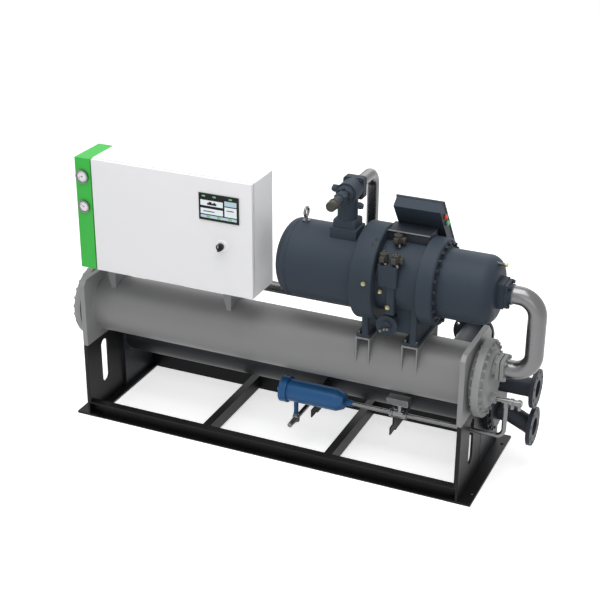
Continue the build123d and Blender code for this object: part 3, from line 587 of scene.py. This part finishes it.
def vessel_bolts():
    """The bolts round the caps of the evaporator and the covers of the condenser."""
    axis = middle_of("evaporator_shell")
    cap_face, cap_flange, cap_circle = 1.294, 0.044, 0.203
    for name, side in (("left", -1), ("right", 1)):
        spread(hex_bolt(0.0105, 0.014), "evaporator_" + name + "_cap_bolts",
               ring_places(side * cap_face, axis.y, axis.z, cap_circle, 24, 7.5), (side, 0, 0), cap_paint)
        spread(hex_bolt(0.0105, 0.012), "evaporator_" + name + "_cap_nuts",
               ring_places(side * (cap_face - cap_flange), axis.y, axis.z, cap_circle, 24, 7.5),
               (-side, 0, 0), cap_paint)
    axis = middle_of("condenser_shell")
    cover_face, cover_circle = 1.258, 0.176
    for name, side in (("left", -1), ("right", 1)):
        spread(hex_bolt(0.009, 0.012), "condenser_" + name + "_cover_bolts",
               ring_places(side * cover_face, axis.y, axis.z, cover_circle, 20, 9), (side, 0, 0),
               condenser_paint)


def compressor_bolts():
    """Bolts of the motor flange and the feet."""
    flange_face, flange_circle = 1.005, 0.221
    axis = middle_of("oil_separator")
    spread(hex_bolt(0.0125, 0.014), "motor_flange_bolts",
           ring_places(flange_face, axis.y, compressor_z, flange_circle, 24, 7.5), (1, 0, 0), dark_cast_and_shade_paint)
    foot_top, front, back = 0.908, -0.321, -0.009
    feet = [(x, y, foot_top) for x in (0.566, 0.842, 0.905) for y in (front, back)]
    feet += [(0.567, y, foot_top) for y in (-0.24, -0.09)]
    spread(hex_bolt(0.0135, 0.016), "foot_bolts", feet, (0, 0, 1), dark_steel)


def valve_bolts():
    """Bolts and nuts of the discharge valve's flange, and the bolts of its bonnet."""
    half, front, back = 0.045, -0.13, -0.082
    spread(hex_bolt(0.0095, 0.012), "valve_flange_bolts",
           corner_places(valve_x, front, valve_z, dx=half, dz=half), (0, -1, 0), dark_cast_and_shade_paint)
    spread(hex_bolt(0.0095, 0.012), "valve_flange_nuts",
           corner_places(valve_x, back, valve_z, dx=half, dz=half), (0, 1, 0), dark_cast_and_shade_paint)
    bonnet_face, circle = -0.27, 0.0405
    turns = [math.radians(30 + 60 * step) for step in range(6)]
    bonnet = [(valve_x + circle * math.cos(turn), bonnet_face, valve_z + circle * math.sin(turn))
              for turn in turns]
    spread(hex_bolt(0.0065, 0.008), "valve_bonnet_bolts", bonnet, (0, -1, 0), dark_cast_and_shade_paint)


def suction_bolts():
    """Bolts of the suction flange, and the bolts and nuts of the joint below it."""
    axis = middle_of("oil_separator")
    spread(hex_bolt(0.0115, 0.013), "suction_flange_bolts",
           corner_places(1.372, axis.y, compressor_z, dy=0.044, dz=0.057), (1, 0, 0), dark_cast_and_shade_paint)
    joint = middle_of("evaporator_suction_flange")
    half = 0.049
    for name, x, facing in (("bolts", 1.385, (1, 0, 0)), ("nuts", 1.338, (-1, 0, 0))):
        spread(hex_bolt(0.011, 0.012), "suction_joint_" + name,
               corner_places(x, joint.y, joint.z, dy=half, dz=half), facing, cap_paint)


def oil_plugs():
    """Brass plugs in the first ring, the barrel and the rib on its front."""
    plugs = []
    for x, y, z in ((0.627, -0.4395, 1.271), (0.698, -0.372, 1.21), (0.752, -0.386, 1.13)):
        plugs.append(round_piece(0.0145, (x, y + 0.012, z), (x, y - 0.008, z), 0.002, 6))
        plugs.append(round_piece(0.0095, (x, y, z), (x, y - 0.016, z), 0.003, 20))
    finish_piece("oil_plugs", plugs, brass)


def coil_fittings():
    """Sockets on the three solenoid coils, the nuts on top of them and a nut before each."""
    sockets, nuts = [], []
    for x, y, side_socket in ((0.708, -0.346, False), (0.776, -0.346, True), (0.742, -0.225, True)):
        base = compressor_z + math.sqrt(barrel_radius ** 2 - (y + coil_radius - compressor_y) ** 2) + 0.006
        sockets.append(slab((x - 0.014, y - 0.044, base + 0.010),
                            (x + 0.014, y - 0.020, base + 0.040), 0.003))
        if side_socket:
            sockets.append(slab((x + 0.018, y - 0.016, base + 0.008),
                                (x + 0.046, y + 0.014, base + 0.038), 0.005))
        nuts.append(round_piece(0.0095, (x, y, base + 0.05), (x, y, base + 0.058), 0.001, 6))
        beside, before = x + 0.018, y - 0.03
        nuts.append(round_piece(0.0085, (beside, before, base - 0.012), (beside, before, base + 0.008),
                                0.002, 6))
    finish_piece("coil_sockets", sockets, coil_plastic)
    finish_piece("coil_nuts", nuts, zinc)


def oil_fittings():
    """Three hexagon fittings with their nipples on the round oil cover."""
    cover_face, nipple = -0.384, 0.008
    fittings = []
    for x, z, reach in ((0.722, 0.992, 0.026), (0.742, 1.002, 0.020), (0.762, 1.008, 0.026)):
        front = cover_face - reach
        fittings.append(round_piece(0.008, (x, cover_face, z), (x, front, z), 0.0015, 6))
        fittings.append(round_piece(0.0055, (x, front, z), (x, front - nipple, z), 0.001, 16))
    finish_piece("oil_fittings", fittings, zinc)


def purge_valve():
    """A small angle valve with a brass cap, on the shoulder of the motor's end."""
    y, z, tip = compressor_y, 1.403, 1.33
    body = round_piece(0.012, (1.285, y, 1.385), (1.285, y, 1.412), 0.002, 6)
    arm = round_piece(0.009, (1.276, y, z), (tip, y, z), 0.001, 16)
    finish_piece("purge_valve", [body, arm], dark_steel)
    cap = round_piece(0.0115, (tip, y, z), (tip + 0.02, y, z), 0.003, 20)
    finish_piece("purge_cap", [cap], brass)


def valve_dress():
    """The discharge valve's square base, gland, side caps and stem cap."""
    x, y, z = valve_x, valve_y, valve_z
    base = slab((x - 0.069, y - 0.058, 1.44), (x + 0.069, y + 0.065, 1.544), 0.014)
    foot = slab((x - 0.08, y - 0.068, 1.43), (x + 0.08, y + 0.075, 1.496), 0.006)
    gland = round_piece(0.037, (x, -0.298, z), (x, -0.335, z), 0.004, 6)
    caps = []
    for side, start, shoulder, end, cap_z in ((-1, 0.062, 0.088, 0.096, 1.70),
                                              (1, 0.05, 0.082, 0.091, 1.622)):
        hexagon = (x + side * start, y, cap_z), (x + side * shoulder, y, cap_z)
        nose = (x + side * 0.05, y, cap_z), (x + side * end, y, cap_z)
        caps.append(round_piece(0.021, *hexagon, 0.004, 6))
        caps.append(round_piece(0.014, *nose, 0.004, 20))
    finish_piece("valve_base", [base, foot, gland] + caps, rough_cast_paint)
    tip = round_piece(0.0295, (x, -0.412, z), (x, -0.462, z), 0.01)
    ridge = round_piece(0.0315, (x, -0.404, z), (x, -0.414, z), 0.002)
    finish_piece("valve_stem_cap", [tip, ridge], coil_plastic)


def box_base():
    """The wall, plate and lip under the terminal box, between the two rings: the dark wall and plate are
    painted shade, the pale lip a painted highlight on the plate's front edge.
    """
    left, right, back = 0.660, 0.912, -0.05
    # painted shade: the wall and plate are dark for the shade between the first ring and the terminal box
    wall = slab((left, -0.186, 1.42), (right, back, 1.499), 0.002)
    finish_piece("box_shade_wall", [wall], dark_cast_and_shade_paint)
    plate = slab((left, -0.19, 1.497), (right, back, 1.503), 0.002)
    finish_piece("box_plate", [plate], dark_cast_and_shade_paint)
    # painted highlight: a pale lip along the plate's front edge
    lip = slab((left, -0.194, 1.498), (right, -0.188, 1.5045), 0.001)
    finish_piece("box_lip_highlight", [lip], vessel_paint)


def ring_hole_shades():
    """Two small black discs on the top of the first ring: painted shade standing for two bolt holes."""
    seat, proud = 0.272, 0.006
    plugs = []
    # painted shade: black discs where the two bolt holes are
    for x, lean in ((0.638, 36), (0.6465, 29)):
        out = Vector((0, -math.sin(math.radians(lean)), math.cos(math.radians(lean))))
        foot = Vector((x, compressor_y, compressor_z)) + out * seat
        plugs.append(round_piece(0.0115, foot, foot + out * proud, 0.0005, 16))
    finish_piece("ring_hole_shades", plugs, black_plastic)


def status_lamps():
    """A red and a green lens, each in a bezel, on the end of the terminal box."""
    low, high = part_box("indicator_lamps")
    half, lens_radius, bezel_radius = 0.015, 0.0142, 0.0168
    bezels = []
    for name, y, z, material in (("red_lamp", low.y + half, high.z - half, red_lens),
                                 ("green_lamp", high.y - half, low.z + half, green_lens)):
        lens = round_piece(lens_radius, (low.x, y, z), (high.x, y, z), 0.004)
        piece = finish_piece(name, [lens], material)
        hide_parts("indicator_lamps")
        bezels.append(round_piece(bezel_radius, (low.x + 0.006, y, z), (low.x + 0.009, y, z), 0.001))
    finish_piece("lamp_bezels", bezels, zinc)


def terminal_box_screws():
    """Nine screws in the leaning lid of the terminal box."""
    lean, depth = math.radians(53.7), 0.077
    across = Vector((0, math.cos(lean), -math.sin(lean)))
    out = Vector((0, math.sin(lean), math.cos(lean)))
    corner = Vector((0, -0.138, 1.628)) + out * depth
    places = [Vector((x, 0, 0)) + corner + across * reach
              for x in (0.69, 0.81, 0.93) for reach in (0.02, 0.212, 0.404)]
    screw = round_piece(0.0055, (0, 0, 0), (0, 0, 0.003), 0.001, 12)
    activate(screw)
    bpy.ops.object.transform_apply(location=True, rotation=True, scale=True)
    spread(screw, "lid_screws", places, out, zinc)


def weld_beads():
    """Weld beads where the shells meet their tube sheets, on the drum and on the suction pipe."""
    sheet_face = 1.19
    for name, node, material in (("shell_welds", "evaporator_shell", vessel_paint),
                                 ("condenser_welds", "condenser_shell", condenser_paint)):
        axis = middle_of(node)
        low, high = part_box(node)
        radius = (high.z - low.z) / 2
        ends = [bead(radius, 0.0045, (x, axis.y, axis.z)) for x in (-sheet_face, sheet_face)]
        finish_piece(name, ends, material)
    drum = middle_of("oil_separator")
    seams = [bead(0.2252, 0.003, (x, drum.y, compressor_z)) for x in (0.125, 0.5335)]
    finish_piece("drum_welds", seams, cast_paint)
    collars = [bead(0.0525, 0.004, (x, compressor_y, z)) for x, z in ((1.393, compressor_z), (1.386, 0.786))]
    finish_piece("suction_welds", collars, pipe_steel)


def bead(radius, thickness, place):
    """A round bead about a pipe or shell that runs along X."""
    bpy.ops.mesh.primitive_torus_add(major_radius=radius, minor_radius=thickness, major_segments=72,
                                     minor_segments=8, location=place, rotation=(0, math.pi / 2, 0))
    return bpy.context.object


def expansion_drive():
    """A tapered housing over the expansion valve's drive, and bright nuts on its sleeve."""
    low = Vector((0.7195, -0.2605, 0.4545))
    high = Vector((0.8505, -0.1975, 0.4945))
    taper = 0.72
    box = slab(low, high, 0.004)
    edit_faces(box, lambda face: face.normal.z < -0.9)
    bpy.ops.transform.resize(value=(taper, 1, 1), center_override=(high.x, 0, low.z))
    bpy.ops.object.mode_set(mode="OBJECT")
    finish_piece("expansion_drive", [box], box_paint)
    nuts = [round_piece(0.0275, (x, liquid_y, liquid_z), (x + 0.018, liquid_y, liquid_z), 0.003, 6)
            for x in (0.727, 0.808)]
    finish_piece("expansion_nuts", nuts, pipe_steel)


def pipe_clamps():
    """A clamp on the liquid line at its hanger."""
    finish_piece("pipe_clamps", [bead(0.0285, 0.004, (0.742, liquid_y, liquid_z))], zinc)


def drier_bolts():
    """Bolts through the bolted end of the filter drier."""
    left, y, z, circle = 0.045, -0.22, 0.385, 0.062
    spread(hex_bolt(0.008, 0.009), "drier_bolts", ring_places(left, y, z, circle, 8, 22.5), (-1, 0, 0), zinc)


# their order also fixes the random turns of the bolts
for make in (gauges, screen, cabinet_fit_out, selector, vessel_bolts, compressor_bolts, valve_bolts,
             suction_bolts, oil_plugs, coil_fittings, oil_fittings, purge_valve, valve_dress, box_base,
             ring_hole_shades, status_lamps, terminal_box_screws, weld_beads, expansion_drive, pipe_clamps,
             drier_bolts):
    make()


# studio: name, place, width and power of each lamp, and the point that all are turned to
lamps = (("top_lamp", (0.3, -1.2, 5.6), 4.5, 225), ("front_lamp", (2.5, -6.0, 3.0), 4.0, 50),
         ("left_lamp", (-6.0, -3.0, 3.5), 4.0, 55), ("back_lamp", (0.0, 6.0, 4.5), 4.0, 60))
lamp_aim = (0, 0, 0.9)
sky_light = 0.45
floor_colour = (0.80, 0.80, 0.80, 1)
floor_glow = 0.6


def add_backdrop_rays(tree):
    """1 for rays that see the backdrop: those of the camera, of gloss and through glass."""
    path = tree.nodes.new("ShaderNodeLightPath")
    seen = add_math(tree, "MAXIMUM", path.outputs["Is Camera Ray"], path.outputs["Is Glossy Ray"])
    return add_math(tree, "MAXIMUM", seen, path.outputs["Is Transmission Ray"])


def make_floor():
    """A wide pale floor."""
    bpy.ops.mesh.primitive_plane_add(size=60, location=(0, 0, 0))
    floor = bpy.context.object
    floor.name = "floor"
    material = bpy.data.materials.new("floor")
    material.use_nodes = True
    tree = material.node_tree
    shader = tree.nodes["Principled BSDF"]
    shader.inputs["Base Color"].default_value = floor_colour
    shader.inputs["Roughness"].default_value = 0.9
    shader.inputs["Emission Color"].default_value = (1, 1, 1, 1)
    glow = add_math(tree, "MULTIPLY", add_backdrop_rays(tree), floor_glow)
    tree.links.new(glow, shader.inputs["Emission Strength"])
    floor.data.materials.append(material)


def make_backdrop():
    """A world that shows white behind the object and lights it more softly."""
    world = bpy.data.worlds.new("studio")
    bpy.context.scene.world = world
    world.use_nodes = True
    tree = world.node_tree
    tree.nodes.clear()
    out = tree.nodes.new("ShaderNodeOutputWorld")
    mix = tree.nodes.new("ShaderNodeMixShader")
    tree.links.new(add_backdrop_rays(tree), mix.inputs[0])
    for slot, strength in ((mix.inputs[1], sky_light), (mix.inputs[2], 1.0)):
        sky = tree.nodes.new("ShaderNodeBackground")
        sky.inputs["Color"].default_value = (1, 1, 1, 1)
        sky.inputs["Strength"].default_value = strength
        tree.links.new(sky.outputs[0], slot)
    tree.links.new(mix.outputs[0], out.inputs[0])


def make_lamps():
    """Four soft square lamps, turned to the middle of the object."""
    for label, place, size, power in lamps:
        data = bpy.data.lights.new(label, "AREA")
        data.size = size
        data.energy = power
        lamp = bpy.data.objects.new(label, data)
        bpy.context.scene.collection.objects.link(lamp)
        lamp.location = place
        lamp.rotation_mode = "QUATERNION"
        lamp.rotation_quaternion = (Vector(lamp_aim) - Vector(place)).to_track_quat("-Z", "Y")


make_camera()
make_floor()
make_backdrop()
make_lamps()
bpy.context.scene.view_settings.view_transform = "Standard"
